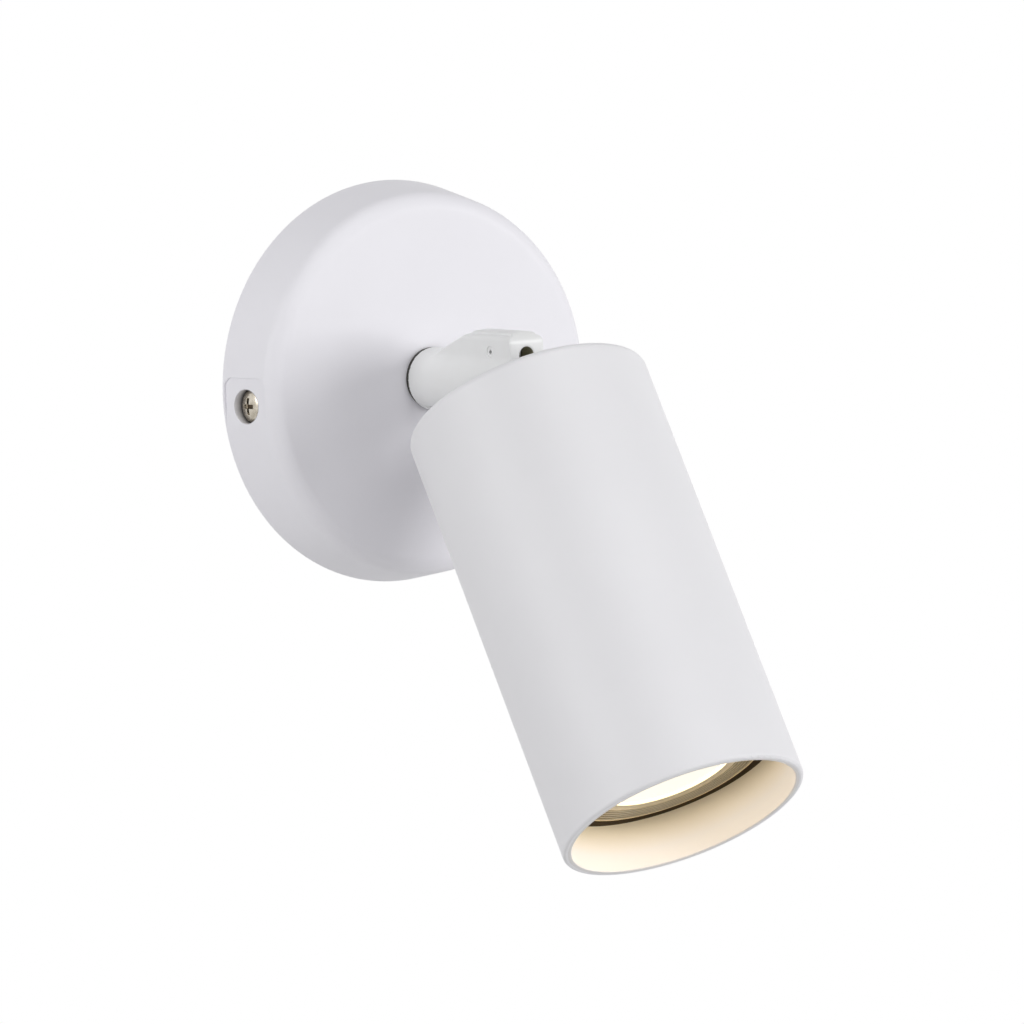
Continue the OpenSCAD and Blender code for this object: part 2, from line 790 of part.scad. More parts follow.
module head_section() {
    difference() {
        union() {
            translate([0, head_edge_r]) square([head_r, head_len - head_edge_r - rim_edge_r]);
            square([head_r - head_edge_r, head_len / 2]);
            translate([head_r - head_edge_r, head_edge_r]) circle(head_edge_r);
            translate([head_inner_r, head_len / 2])
                square([head_wall - rim_edge_r, head_len / 2]);
            translate([head_r - rim_edge_r, head_len - rim_edge_r]) circle(rim_edge_r);
        }
        translate([0, head_rear_t]) square([head_inner_r, head_len]);
        translate([0, -past]) square([stub_r + screw_gap, head_rear_t + 2 * past]);
    }
}

module head_shell() {
    color(white) at_head() translate([0, 0, hinge_reach]) rotate_extrude($fn = 180) head_section();
}

// Ring pressed into the mouth, as far as the front of the lamp
module mouth_ring() {
    inner = head_inner_r - thread_fit - ring_wall;
    color(white) at_head() translate([0, 0, hinge_reach + head_len - ring_len])
        rotate_extrude($fn = 180) {
            translate([inner, 0]) square([ring_wall, ring_len - ring_edge_r]);
            translate([inner + ring_edge_r, 0]) square([ring_wall - ring_edge_r, ring_len]);
            translate([inner + ring_edge_r, ring_len - ring_edge_r]) circle(ring_edge_r);
        }
}

// Folded strap: clamped to the rear wall by the hinge's nut, with feet under the lampholder
module holder_bracket() {
    color(steel) at_head() difference() {
        union() {
            translate([-bracket_half, -bracket_w / 2, rear_inside])
                cube([2 * bracket_half, bracket_w, bracket_t]);
            both_sides() {
                translate([bracket_half - bracket_t, -bracket_w / 2, rear_inside])
                    cube([bracket_t, bracket_w, holder_rear - rear_inside]);
                translate([foot_in, -bracket_w / 2, foot_start])
                    cube([bracket_half - foot_in, bracket_w, bracket_t]);
            }
        }
        translate([0, 0, rear_inside - past])
            cylinder(r = stub_r + screw_gap, h = bracket_t + 2 * past);
        both_sides() translate([holder_screw_x, 0, foot_start - past])
            cylinder(r = holder_screw_r + thread_fit, h = bracket_t + 2 * past);
    }
}

module earth_tag() {
    color(brass) at_head() translate([0, 0, tag_start]) difference() {
        union() {
            cylinder(r = stub_r + 2.4, h = tag_t);
            translate([-tag_w / 2, 0, 0]) cube([tag_w, tag_reach - tag_t, tag_t]);
            translate([0, tag_reach, crimp_r]) rotate([90, 0, 0])
                cylinder(r = crimp_r, h = crimp_len);
        }
        translate([0, 0, -past]) cylinder(r = stub_r + screw_gap, h = tag_t + 2 * past);
        translate([0, tag_reach + past, crimp_r]) rotate([90, 0, 0])
            cylinder(r = lead_r, h = crimp_depth + past);
    }
}

module lock_washer() {
    color(steel) at_head() translate([0, 0, lock_start]) difference() {
        ring(stub_r + 2.2, stub_r + screw_gap, lock_washer_t);
        rotate([0, 25, 90]) translate([-washer_slit / 2, 0, -2 * past])
            cube([washer_slit, 2 * stub_r, 6 * past]);
    }
}

module head_nut() {
    color(steel) at_head() translate([0, 0, head_nut_start])
        hex_nut(head_nut_af, stub_r + thread_fit, head_nut_t);
}

module head_sleeve() {
    start = neck_end + free_gap + 0.1;
    color(dark) at_head() translate([0, 0, start]) cylinder(r = sleeve_r, h = sleeve_tip - start);
}

module head_leads() {
    at_head() {
        for (i = [-1, 1])
            color(lead_colours[i + 1])
                wire(concat(
                    route(in_sleeve(180 - 60 * i, sleeve_tip + free_gap), [-1.5, i, 11],
                          [0, i * lamp_pin_pitch / 2, holder_rear - 2], [1.5, 0, 9], 16),
                    [[0, i * lamp_pin_pitch / 2, holder_mid - 0.5]]), lead_r);
        color(lead_colours[1])
            wire(concat(
                route(in_sleeve(0, sleeve_tip + free_gap), [1.5, 1, 9],
                      [0, tag_reach + 2.5, tag_start + crimp_r], [-0.5, -7, -1.5], 16),
                [[0, tag_reach - crimp_depth + 1, tag_start + crimp_r]]), lead_r - washer_gap);
    }
}

module holder_screw_holes(r) {
    both_sides() translate([holder_screw_x, 0, -past]) cylinder(r = r, h = 2 * holder_h);
}

module holder_back() {
    color(ceramic) at_head() translate([0, 0, holder_rear]) difference() {
        cylinder(r = holder_r, h = holder_back_t);
        holder_screw_holes(holder_screw_r + screw_gap);
        for (i = [-1, 1])
            translate([0, i * lamp_pin_pitch / 2, -past])
                cylinder(r = lead_r + screw_gap, h = holder_back_t + 2 * past);
    }
}

// Keyhole slots: the pins drop in at the wide end and turn to the narrow end
module keyholes() {
    for (turn = [90, 270]) rotate([0, 0, turn]) {
        rotate([0, 0, -key_turn]) translate([lamp_pin_pitch / 2, 0, 0])
            circle(lamp_pin_head_r + free_gap);
        intersection() {
            difference() {
                circle(lamp_pin_pitch / 2 + lamp_pin_r + free_gap);
                circle(lamp_pin_pitch / 2 - lamp_pin_r - free_gap);
            }
            polygon([[0, 0], [holder_r, 0], holder_r * [cos(key_turn), -sin(key_turn)]]);
        }
        translate([lamp_pin_pitch / 2, 0, 0]) circle(lamp_pin_r + free_gap);
    }
}

module holder_body() {
    color(ceramic) at_head() translate([0, 0, holder_mid]) difference() {
        cylinder(r = holder_r, h = holder_h - holder_back_t);
        translate([0, 0, -past])
            cylinder(r = holder_chamber_r, h = holder_h - holder_back_t - holder_face_t + past);
        linear_extrude(holder_h) keyholes();
        holder_screw_holes(holder_screw_r + screw_gap);
        both_sides() translate([holder_screw_x, 0, holder_screw_seat - holder_mid])
            cylinder(r = holder_screw_head_r + free_gap, h = holder_h);
    }
}

// Two sprung contact blades that press on the sides of the pin heads
module holder_contacts() {
    contact_up = lamp_pin_pitch / 2 + lamp_pin_head_r + (contact_t + screw_gap) / 2;
    color(brass) at_head() for (side = [-1, 1])
        translate([-contact_w / 2, side * contact_up - contact_t / 2, holder_mid])
            cube([contact_w, contact_t, holder_h - holder_back_t - holder_face_t - shell_t]);
}

module holder_screws() {
    color(steel) at_head() both_sides() translate([holder_screw_x, 0, holder_screw_seat]) {
        screw_head(holder_screw_head_r, holder_screw_head_h);
        translate([0, 0, foot_start - holder_screw_seat])
            cylinder(r = holder_screw_r, h = holder_screw_seat - foot_start + thread_fit);
    }
}

module lamp_base() {
    color(ceramic) at_head() translate([0, 0, lamp_foot]) difference() {
        cylinder(r = lamp_base_r, h = lamp_base_len);
        translate([0, 0, lamp_base_floor])
            cylinder(r = lamp_base_r - lamp_base_wall, h = lamp_base_len);
        for (side = [-1, 1])
            translate([0, side * lamp_pin_pitch / 2, -past])
                cylinder(r = lamp_pin_r + thread_fit, h = lamp_base_floor + 2 * past);
    }
}

module lamp_pins() {
    color(brass) at_head() for (side = [-1, 1])
        translate([0, side * lamp_pin_pitch / 2, lamp_foot - lamp_pin_len]) {
            cylinder(r = lamp_pin_head_r, h = lamp_pin_head_len);
            cylinder(r = lamp_pin_r, h = lamp_pin_len + lamp_base_floor + past);
        }
}

// Flared cup of the lamp, from its base to the seat of the bezel
module lamp_housing() {
    base_end = lamp_len - lamp_base_len;
    flare = [[lamp_base_r, -base_end], [lamp_r - 0.4, -7], [lamp_r, -5], [lamp_r, -bezel_depth]];
    color(nylon) at_head() translate([0, 0, lamp_front]) rotate_extrude()
        polygon(concat(flare, [for (i = [3:-1:0]) flare[i] - [shell_t, 0]]));
}

// A circuit board that stands in the base, with a capacitor on one face and a coil on the other
module lamp_driver() {
    color([0.20, 0.42, 0.28]) at_head() translate([0, 0, lamp_foot + lamp_base_len]) {
        translate([-driver_w / 2, -driver_t / 2, 0]) cube([driver_w, driver_t, driver_len]);
        translate([-driver_tail_w / 2, -driver_tail_t / 2, -driver_tail_len])
            cube([driver_tail_w, driver_tail_t, driver_tail_len]);
        translate([-driver_w / 4, driver_t / 2, driver_len - capacitor_len - 2])
            cylinder(r = capacitor_r, h = capacitor_len);
        translate([driver_w / 4 - coil_w / 2, -driver_t / 4 - coil_depth, (driver_len - coil_len) / 2])
            cube([coil_w, coil_depth, coil_len]);
    }
}

module led_board() {
    seat = lamp_front - board_back;
    color(white) at_head() translate([0, 0, seat]) {
        cylinder(r = board_r, h = board_t);
        for (turn = [0:60:300])
            rotate([0, 0, turn]) translate([chip_ring_r, -chip_w / 2, board_t])
                cube([chip_w, chip_w, chip_t]);
        translate([0, 0, -post_len]) ring(post_r, post_r / 2, post_len);
    }
}

module lamp_bezel() {
    rib_step = (lamp_r - rib_edge - lens_r - rib_margin) / rib_count;
    color([0.66, 0.60, 0.50]) at_head() translate([0, 0, lamp_front]) rotate_extrude() {
        difference() {
            translate([bezel_in_r, -bezel_depth]) square([lamp_r - bezel_in_r, bezel_depth]);
            for (i = [0:rib_count - 1])
                translate([lens_r + rib_margin + i * rib_step, -rib_depth])
                    square([rib_step * 0.5, bezel_depth]);
        }
        translate([bezel_in_r, board_t - board_back])
            square([collar_t, board_back - board_t - bezel_depth / 2]);
    }
}

module lamp_lens() {
    color([1, 0.97, 0.88]) at_head() translate([0, 0, lamp_front - bezel_depth])
        rotate_extrude() intersection() {
            square([lens_r, lens_r]);
            translate([0, lens_edge_t - sqrt(lens_dome_r * lens_dome_r - lens_r * lens_r)])
                circle(lens_dome_r, $fn = 1440);
        }
}

canopy();
wall_strap();
side_screws();
terminal_block();
terminal_poles();
terminal_screws();
terminal_fixings();
earth_screw();
canopy_leads();
stem_washer();
knuckle_stem();
stem_nipple();
inner_washer();
stop_washer();
spring_washer();
swivel_nut();
tilt_pin();
tilt_washers();
stem_sleeve();
knuckle_sleeve();
head_hinge();
head_shell();
mouth_ring();
holder_bracket();
earth_tag();
lock_washer();
head_nut();
head_sleeve();
head_leads();
holder_back();
holder_body();
holder_contacts();
holder_screws();
lamp_base();
lamp_pins();
lamp_housing();
lamp_driver();
led_board();
lamp_bezel();
lamp_lens();
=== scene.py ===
import json
import math

import bpy
from mathutils import Matrix, Vector

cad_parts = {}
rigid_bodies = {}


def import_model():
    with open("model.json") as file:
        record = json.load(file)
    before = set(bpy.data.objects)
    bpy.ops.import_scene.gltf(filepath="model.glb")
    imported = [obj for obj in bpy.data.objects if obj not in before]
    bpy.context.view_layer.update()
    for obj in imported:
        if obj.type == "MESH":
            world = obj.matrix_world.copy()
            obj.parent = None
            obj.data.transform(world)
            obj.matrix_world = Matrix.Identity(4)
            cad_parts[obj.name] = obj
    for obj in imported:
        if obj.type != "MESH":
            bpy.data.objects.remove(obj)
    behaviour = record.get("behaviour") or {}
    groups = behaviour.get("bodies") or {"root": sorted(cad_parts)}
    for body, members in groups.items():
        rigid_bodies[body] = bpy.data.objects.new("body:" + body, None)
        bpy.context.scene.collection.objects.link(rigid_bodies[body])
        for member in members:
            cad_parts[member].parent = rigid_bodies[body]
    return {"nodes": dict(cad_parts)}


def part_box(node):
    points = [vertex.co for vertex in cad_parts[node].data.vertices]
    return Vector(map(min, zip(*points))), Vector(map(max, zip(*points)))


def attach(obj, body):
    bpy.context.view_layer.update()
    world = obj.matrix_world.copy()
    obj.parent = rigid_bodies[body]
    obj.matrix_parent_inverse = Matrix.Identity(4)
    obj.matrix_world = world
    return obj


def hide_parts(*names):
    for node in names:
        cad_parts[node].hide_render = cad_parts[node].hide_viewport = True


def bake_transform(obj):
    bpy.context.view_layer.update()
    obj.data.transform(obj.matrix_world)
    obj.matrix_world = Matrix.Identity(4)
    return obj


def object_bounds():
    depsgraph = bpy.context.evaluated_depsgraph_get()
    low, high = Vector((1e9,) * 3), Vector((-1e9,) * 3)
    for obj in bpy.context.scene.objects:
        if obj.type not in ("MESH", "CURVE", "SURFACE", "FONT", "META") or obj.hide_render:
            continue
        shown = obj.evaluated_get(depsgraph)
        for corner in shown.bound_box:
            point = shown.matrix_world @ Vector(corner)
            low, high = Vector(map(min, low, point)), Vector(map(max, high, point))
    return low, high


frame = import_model()
solid_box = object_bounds()

# The studio camera. It stands two metres off, to the left of the lamp's front and a little
# above it, with a long lens, so the canopy's side and the mouth of the head both show.
scene = bpy.context.scene
camera_turn = math.radians(-34.47)
camera_rise = math.radians(5.0)
camera_roll = math.radians(-1.6)
camera_off = 2.0
camera_sees_to = 50
sensor_mm = 36
pixels = 1024
pixels_per_metre = 4020
wall_centre_px = (392.08, 380.82)

back = Vector((math.sin(camera_turn) * math.cos(camera_rise),
               -math.cos(camera_turn) * math.cos(camera_rise), math.sin(camera_rise)))
level = Vector((math.cos(camera_turn), math.sin(camera_turn), 0))
upright = back.cross(level)
right = math.cos(camera_roll) * level + math.sin(camera_roll) * upright
up = math.cos(camera_roll) * upright - math.sin(camera_roll) * level
wall_centre_right = (wall_centre_px[0] - pixels / 2) / pixels_per_metre
wall_centre_up = (pixels / 2 - wall_centre_px[1]) / pixels_per_metre
camera_at = back * camera_off - right * wall_centre_right - up * wall_centre_up

bpy.ops.object.camera_add()
camera = bpy.context.object
camera.name = "studio_camera"
camera.matrix_world = Matrix.Translation(camera_at) @ Matrix((right, up, back)).transposed().to_4x4()
camera.data.sensor_width = sensor_mm
camera.data.lens = sensor_mm * pixels_per_metre * camera_off / pixels
camera.data.clip_end = camera_sees_to
scene.camera = camera
scene.view_settings.view_transform = "Standard"

# The studio. A pale floor lies under the lamp, and soft boxes stand to the right, above, to
# the left and in front. The air is an even pale grey, and the camera sees both as white.
floor_drop = 0.14
floor_half = 30
floor_tone = (0.80, 0.80, 0.80, 1)
floor_roughness = 0.9
air_tone = (0.98, 0.98, 1.0, 1)
air_strength = 0.23
seen_tone = (1, 1, 1, 1)
seen_strength = 1.0
box_width = 1.0
boxes_aim = Vector((0, -0.05, -0.03))


def seen_white(tree, shader, white):
    """The shader for light and shade, and plain white for what the camera or a mirror sees."""
    rays = tree.nodes.new("ShaderNodeLightPath")
    mirrored = tree.nodes.new("ShaderNodeMath")
    mirrored.operation = "MAXIMUM"
    tree.links.new(rays.outputs["Is Glossy Ray"], mirrored.inputs[0])
    tree.links.new(rays.outputs["Is Transmission Ray"], mirrored.inputs[1])
    seen = tree.nodes.new("ShaderNodeMath")
    seen.operation = "MAXIMUM"
    tree.links.new(rays.outputs["Is Camera Ray"], seen.inputs[0])
    tree.links.new(mirrored.outputs[0], seen.inputs[1])
    mix = tree.nodes.new("ShaderNodeMixShader")
    tree.links.new(seen.outputs[0], mix.inputs["Fac"])
    tree.links.new(shader, mix.inputs[1])
    tree.links.new(white, mix.inputs[2])
    return mix.outputs[0]


def soft_box(name, stands_at, watts):
    """A square area light that faces the lamp."""
    bpy.ops.object.light_add(type="AREA", location=stands_at)
    light = bpy.context.object
    light.name = name
    light.data.size = box_width
    light.data.energy = watts
    light.rotation_euler = (boxes_aim - Vector(stands_at)).to_track_quat("-Z", "Y").to_euler()


bpy.ops.object.select_all(action="DESELECT")
floor_up = solid_box[0][2] - floor_drop
bpy.ops.mesh.primitive_plane_add(size=2 * floor_half, location=(0, 0, floor_up))
floor = bpy.context.object
floor.name = "studio_floor"
floor_paint = bpy.data.materials.new("studio_floor")
floor_paint.use_nodes = True
tree = floor_paint.node_tree
shader = tree.nodes["Principled BSDF"]
shader.inputs["Base Color"].default_value = floor_tone
shader.inputs["Roughness"].default_value = floor_roughness
glow = tree.nodes.new("ShaderNodeEmission")
tree.links.new(seen_white(tree, shader.outputs[0], glow.outputs[0]),
               tree.nodes["Material Output"].inputs["Surface"])
floor.data.materials.append(floor_paint)

air = bpy.data.worlds.new("studio_air")
scene.world = air
air.use_nodes = True
tree = air.node_tree
dim = tree.nodes["Background"]
dim.inputs["Color"].default_value = air_tone
dim.inputs["Strength"].default_value = air_strength
bright = tree.nodes.new("ShaderNodeBackground")
bright.inputs["Color"].default_value = seen_tone
bright.inputs["Strength"].default_value = seen_strength
tree.links.new(seen_white(tree, dim.outputs[0], bright.outputs[0]),
               tree.nodes["World Output"].inputs["Surface"])

soft_box("key_light", (1.5, -2.0, 0.4), 28)
soft_box("high_light", (0.0, -1.2, 2.1), 9)
soft_box("left_light", (-2.2, 0.0, 0.9), 22)
soft_box("front_light", (-0.4, -2.6, 0.5), 5)

# The wall strap. It is pressed from zinc-plated steel strip, with two slots for the wall
# screws, a hole for the supply cable, and tabs and an ear folded or cut in one piece.
mm_per_metre = 1000
same_point_mm = 0.005
sharp_from_deg = 35
zinc_tones = [(0.55, 0.56, 0.58), (0.66, 0.67, 0.69)]


def surface(name, metal, rough, grain_mm, deep_mm):
    """A material that has a fine grain in its gloss and relief, and its colour still to come."""
    made = bpy.data.materials.new(name)
    made.use_nodes = True
    tree = made.node_tree
    shader = tree.nodes["Principled BSDF"]
    shader.inputs["Metallic"].default_value = metal
    place = tree.nodes.new("ShaderNodeTexCoord")
    grain = tree.nodes.new("ShaderNodeTexNoise")
    grain.inputs["Scale"].default_value = mm_per_metre / grain_mm
    grain.inputs["Detail"].default_value = 3
    tree.links.new(place.outputs["Object"], grain.inputs["Vector"])
    gloss = tree.nodes.new("ShaderNodeMapRange")
    gloss.inputs["To Min"].default_value = rough[0]
    gloss.inputs["To Max"].default_value = rough[1]
    tree.links.new(grain.outputs["Fac"], gloss.inputs["Value"])
    tree.links.new(gloss.outputs[0], shader.inputs["Roughness"])
    relief = tree.nodes.new("ShaderNodeBump")
    relief.inputs["Strength"].default_value = 0.4
    relief.inputs["Distance"].default_value = deep_mm / mm_per_metre
    tree.links.new(grain.outputs["Fac"], relief.inputs["Height"])
    tree.links.new(relief.outputs["Normal"], shader.inputs["Normal"])
    return made


def finish(name, tones, metal, rough, grain_mm, deep_mm, mottle_mm=12):
    """A surface whose colour drifts between two tones."""
    made = surface(name, metal, rough, grain_mm, deep_mm)
    tree = made.node_tree
    place = tree.nodes.new("ShaderNodeTexCoord")
    mottle = tree.nodes.new("ShaderNodeTexNoise")
    mottle.inputs["Scale"].default_value = mm_per_metre / mottle_mm
    mottle.inputs["Detail"].default_value = 4
    tree.links.new(place.outputs["Object"], mottle.inputs["Vector"])
    drift = tree.nodes.new("ShaderNodeValToRGB")
    drift.color_ramp.elements[0].position = 0.35
    drift.color_ramp.elements[0].color = (*tones[0], 1)
    drift.color_ramp.elements[1].position = 0.65
    drift.color_ramp.elements[1].color = (*tones[1], 1)
    tree.links.new(mottle.outputs["Fac"], drift.inputs["Fac"])
    tree.links.new(drift.outputs["Color"], tree.nodes["Principled BSDF"].inputs["Base Color"])
    return made


def pick(piece):
    """Selects one piece alone, and makes it the active one."""
    bpy.ops.object.select_all(action="DESELECT")
    piece.select_set(True)
    bpy.context.view_layer.objects.active = piece


def paint(piece, made):
    """Gives a piece one finish all over."""
    piece.data.materials.clear()
    piece.data.materials.append(made)


def dress(node, made, round_mm=0.15, flat_deg=0.5):
    """Gives a node its finish, joins its loose triangles and softens its sharp edges."""
    piece = frame["nodes"][node]
    paint(piece, made)
    pick(piece)
    bpy.ops.object.shade_smooth()
    weld = piece.modifiers.new("weld", "WELD")
    weld.merge_threshold = same_point_mm / mm_per_metre
    flats = piece.modifiers.new("flats", "DECIMATE")
    flats.decimate_type = "DISSOLVE"
    flats.angle_limit = math.radians(flat_deg)
    soften = piece.modifiers.new("soften", "BEVEL")
    soften.width = round_mm / mm_per_metre
    soften.segments = 2
    soften.limit_method = "ANGLE"
    soften.angle_limit = math.radians(sharp_from_deg)
    even = piece.modifiers.new("even", "WEIGHTED_NORMAL")
    even.weight = 80


zinc = finish("zinc_plate", zinc_tones, metal=1.0, rough=(0.28, 0.42), grain_mm=0.8, deep_mm=0.02,
              mottle_mm=3)
dress("wall_strap", zinc)

# The terminal block. It is moulded in natural nylon, with a brass pole in each of its three
# ways and two steel screws in each pole, and two more screws hold it on the strap's ear.
nylon_tones = [(0.80, 0.80, 0.76), (0.86, 0.86, 0.83)]
brass_tones = [(0.62, 0.45, 0.18), (0.74, 0.57, 0.27)]
nylon = finish("natural_nylon", nylon_tones, metal=0.0, rough=(0.35, 0.45), grain_mm=0.5, deep_mm=0.01)
brass = finish("plain_brass", brass_tones, metal=1.0, rough=(0.22, 0.36), grain_mm=0.5, deep_mm=0.01,
               mottle_mm=2)
dress("terminal_block", nylon)
dress("terminal_poles", brass)
dress("terminal_screws", zinc)
dress("terminal_fixings", zinc)
dress("earth_screw", brass)

# The leads. Three cores in silicone, brown, green and yellow, and blue, run from the
# terminal block into the stem, and from the sleeve's end to the lampholder and its earth tag.
stem_up = 1.4
hinge_out = 50.7
hinge_above_stem = 8.1
head_tilt = 57.5
hinge_at = (0, -hinge_out, stem_up + hinge_above_stem)
head_turn = math.radians(90 + head_tilt)
off_wall = Matrix.Scale(1 / mm_per_metre, 4) @ Matrix.Rotation(math.radians(90), 4, "X")
at_head = (Matrix.Scale(1 / mm_per_metre, 4) @ Matrix.Translation(hinge_at)
           @ Matrix.Rotation(head_turn, 4, "X"))
lead_half = 0.75
earth_lead_half = 0.7
lead_spread = 1.2 * lead_half
sleeve_start = 9.1
sleeve_end = 26.1
pole_pitch = 10
pole_out = 5.9
block_foot = 10
pole_middle = 17
contact_aside = 5
contact_start = 52.9
contact_middle = 57.4
tag_along = 19.1
tag_edge = 16
tag_middle = 11.5
core_tones = {"brown": [(0.13, 0.055, 0.03), (0.17, 0.075, 0.04)],
              "blue": [(0.03, 0.09, 0.32), (0.04, 0.12, 0.40)],
              "green": [(0.03, 0.22, 0.05), (0.04, 0.28, 0.07)],
              "yellow": [(0.72, 0.60, 0.05), (0.80, 0.68, 0.08)]}


def lead(name, place, finishes, start, leaves, end, arrives, stop, half=lead_half):
    """One core: a smooth curve from start to end, then straight on to its stop, as a mesh."""
    bpy.ops.object.select_all(action="DESELECT")
    bpy.ops.curve.primitive_bezier_curve_add()
    core = bpy.context.object
    core.name = name
    line = core.data.splines[0]
    line.bezier_points.add(1)
    start, leaves, end, arrives, stop = (Vector(v) for v in (start, leaves, end, arrives, stop))
    third = (stop - end) / 3
    knots = [(start, start - leaves, start + leaves), (end, end - arrives, end + third),
             (stop, stop - third, stop + third)]
    for knot, (middle, before, after) in zip(line.bezier_points, knots):
        knot.handle_left_type = knot.handle_right_type = "FREE"
        knot.co, knot.handle_left, knot.handle_right = place @ middle, place @ before, place @ after
    core.data.resolution_u = 24
    core.data.bevel_depth = half / mm_per_metre
    core.data.bevel_resolution = 4
    around = 2 * core.data.bevel_resolution + 4
    core.data.use_fill_caps = True
    bpy.ops.object.convert(target="MESH")
    for made in finishes:
        core.data.materials.append(made)
    if len(finishes) > 1:
        for face in core.data.polygons:
            face.material_index = 1 if face.index % around < around / 3 else 0
    bpy.ops.object.shade_smooth()
    return core


def bundle(name, cores, body, node):
    """Joins the cores of one place into one piece, which stands for the solid leads there."""
    bpy.ops.object.select_all(action="DESELECT")
    for core in cores:
        core.select_set(True)
    bpy.context.view_layer.objects.active = cores[0]
    bpy.ops.object.join()
    cores[0].name = name
    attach(cores[0], body)
    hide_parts(node)


def in_sleeve(angle, along, up=0.0):
    """The middle of one core where it lies beside the other two in the sleeve."""
    turn = math.radians(angle)
    return (lead_spread * math.cos(turn), up + lead_spread * math.sin(turn), along)


core_finish = {}
for colour, tones in core_tones.items():
    core_finish[colour] = finish(colour + "_core", tones, metal=0.0, rough=(0.4, 0.5), grain_mm=0.4,
                                 deep_mm=0.005)
live_core = [core_finish["brown"]]
earth_core = [core_finish["green"], core_finish["yellow"]]
neutral_core = [core_finish["blue"]]

canopy_cores = []
for way, finishes in ((-1, live_core), (0, earth_core), (1, neutral_core)):
    canopy_cores.append(lead(
        "canopy_core", off_wall, finishes,
        start=in_sleeve(90 - 120 * way, sleeve_start, stem_up), leaves=(0.6 * way, 0.6, -3.4),
        end=(pole_pitch * way, block_foot, pole_out), arrives=(0, 4, 0),
        stop=(pole_pitch * way, pole_middle, pole_out)))
bundle("canopy_cores", canopy_cores, "root", "canopy_leads")

head_cores = []
for way, finishes in ((-1, live_core), (1, neutral_core)):
    head_cores.append(lead(
        "head_core", at_head, finishes,
        start=in_sleeve(180 - 60 * way, sleeve_end), leaves=(-1.5, way, 11),
        end=(0, contact_aside * way, contact_start), arrives=(1.5, 0, 9),
        stop=(0, contact_aside * way, contact_middle)))
head_cores.append(lead(
    "earth_core", at_head, earth_core,
    start=in_sleeve(0, sleeve_end), leaves=(1.5, 1, 9),
    end=(0, tag_edge, tag_along), arrives=(-0.5, -7, -1.5),
    stop=(0, tag_middle, tag_along), half=earth_lead_half))
bundle("head_cores", head_cores, "head", "head_leads")

# The canopy. It is spun from aluminium with a rounded front edge, pressed in on each side
# for a screw, and powder coated satin white. Deep in the two recesses it carries painted shade.
canopy_tones = [(0.865, 0.855, 0.895), (0.885, 0.875, 0.915)]
recess_shade_tones = [(0.07, 0.065, 0.055), (0.12, 0.11, 0.095)]
screw_out = 7.5
screw_up = 3.0
recess_half = 4.4
recess_floor = 45.6
pale_above_floor = 3.0
dark_above_floor = 0.6


def step(tree, kind, a, b=0):
    """One step of arithmetic on sockets or numbers."""
    made = tree.nodes.new("ShaderNodeMath")
    made.operation = kind
    for value, socket in ((a, made.inputs[0]), (b, made.inputs[1])):
        if isinstance(value, (int, float)):
            socket.default_value = value
        else:
            tree.links.new(value, socket)
    return made.outputs[0]


def turned(tree, place_mm, turn_x):
    """A point of the surface in mm, in a frame that stands at a place and is turned about X."""
    lie = tree.nodes.new("ShaderNodeMapping")
    lie.vector_type = "TEXTURE"
    lie.inputs["Location"].default_value = [part / mm_per_metre for part in place_mm]
    lie.inputs["Rotation"].default_value = (turn_x, 0, 0)
    lie.inputs["Scale"].default_value = (1 / mm_per_metre, 1 / mm_per_metre, 1 / mm_per_metre)
    place = tree.nodes.new("ShaderNodeTexCoord")
    tree.links.new(place.outputs["Object"], lie.inputs["Vector"])
    apart = tree.nodes.new("ShaderNodeSeparateXYZ")
    tree.links.new(lie.outputs[0], apart.inputs[0])
    return apart.outputs


def reach(tree, a, b):
    """How far a point lies from the line where both of these are 0."""
    squares = step(tree, "ADD", step(tree, "MULTIPLY", a, a), step(tree, "MULTIPLY", b, b))
    return step(tree, "SQRT", squares)


def rising(tree, value, start, end):
    """0 where a value is at the start of a stretch, 1 at its end, and even between them."""
    stretch = tree.nodes.new("ShaderNodeMapRange")
    stretch.inputs["From Min"].default_value = start
    stretch.inputs["From Max"].default_value = end
    tree.links.new(value, stretch.inputs["Value"])
    return stretch.outputs[0]


def where_all(tree, masks):
    """A mask that is 1 only where each of some masks is 1."""
    product = masks[0]
    for mask in masks[1:]:
        product = step(tree, "MULTIPLY", product, mask)
    return product


def near_screw(tree):
    """How far a point lies from the canopy's middle plane, and from the axis of the screw there."""
    aside, outward, height = turned(tree, (0, -screw_out, 0), 0)
    screw_height = step(tree, "MULTIPLY", step(tree, "SIGN", aside), screw_up)
    past_screw = step(tree, "SUBTRACT", height, screw_height)
    return step(tree, "ABSOLUTE", aside), reach(tree, outward, past_screw)


def bared(made, mask, tones):
    """Shows other tones where a mask is 1, in place of the finish's own colour."""
    tree = made.node_tree
    shader = tree.nodes["Principled BSDF"]
    own = shader.inputs["Base Color"].links[0].from_socket
    mottle = tree.nodes.new("ShaderNodeTexNoise")
    mottle.inputs["Scale"].default_value = 400
    drift = tree.nodes.new("ShaderNodeValToRGB")
    drift.color_ramp.elements[0].color = (*tones[0], 1)
    drift.color_ramp.elements[1].color = (*tones[1], 1)
    tree.links.new(mottle.outputs["Fac"], drift.inputs["Fac"])
    mix = tree.nodes.new("ShaderNodeMix")
    mix.data_type = "RGBA"
    tree.links.new(mask, mix.inputs["Factor"])
    tree.links.new(own, mix.inputs["A"])
    tree.links.new(drift.outputs["Color"], mix.inputs["B"])
    tree.links.new(mix.outputs["Result"], shader.inputs["Base Color"])


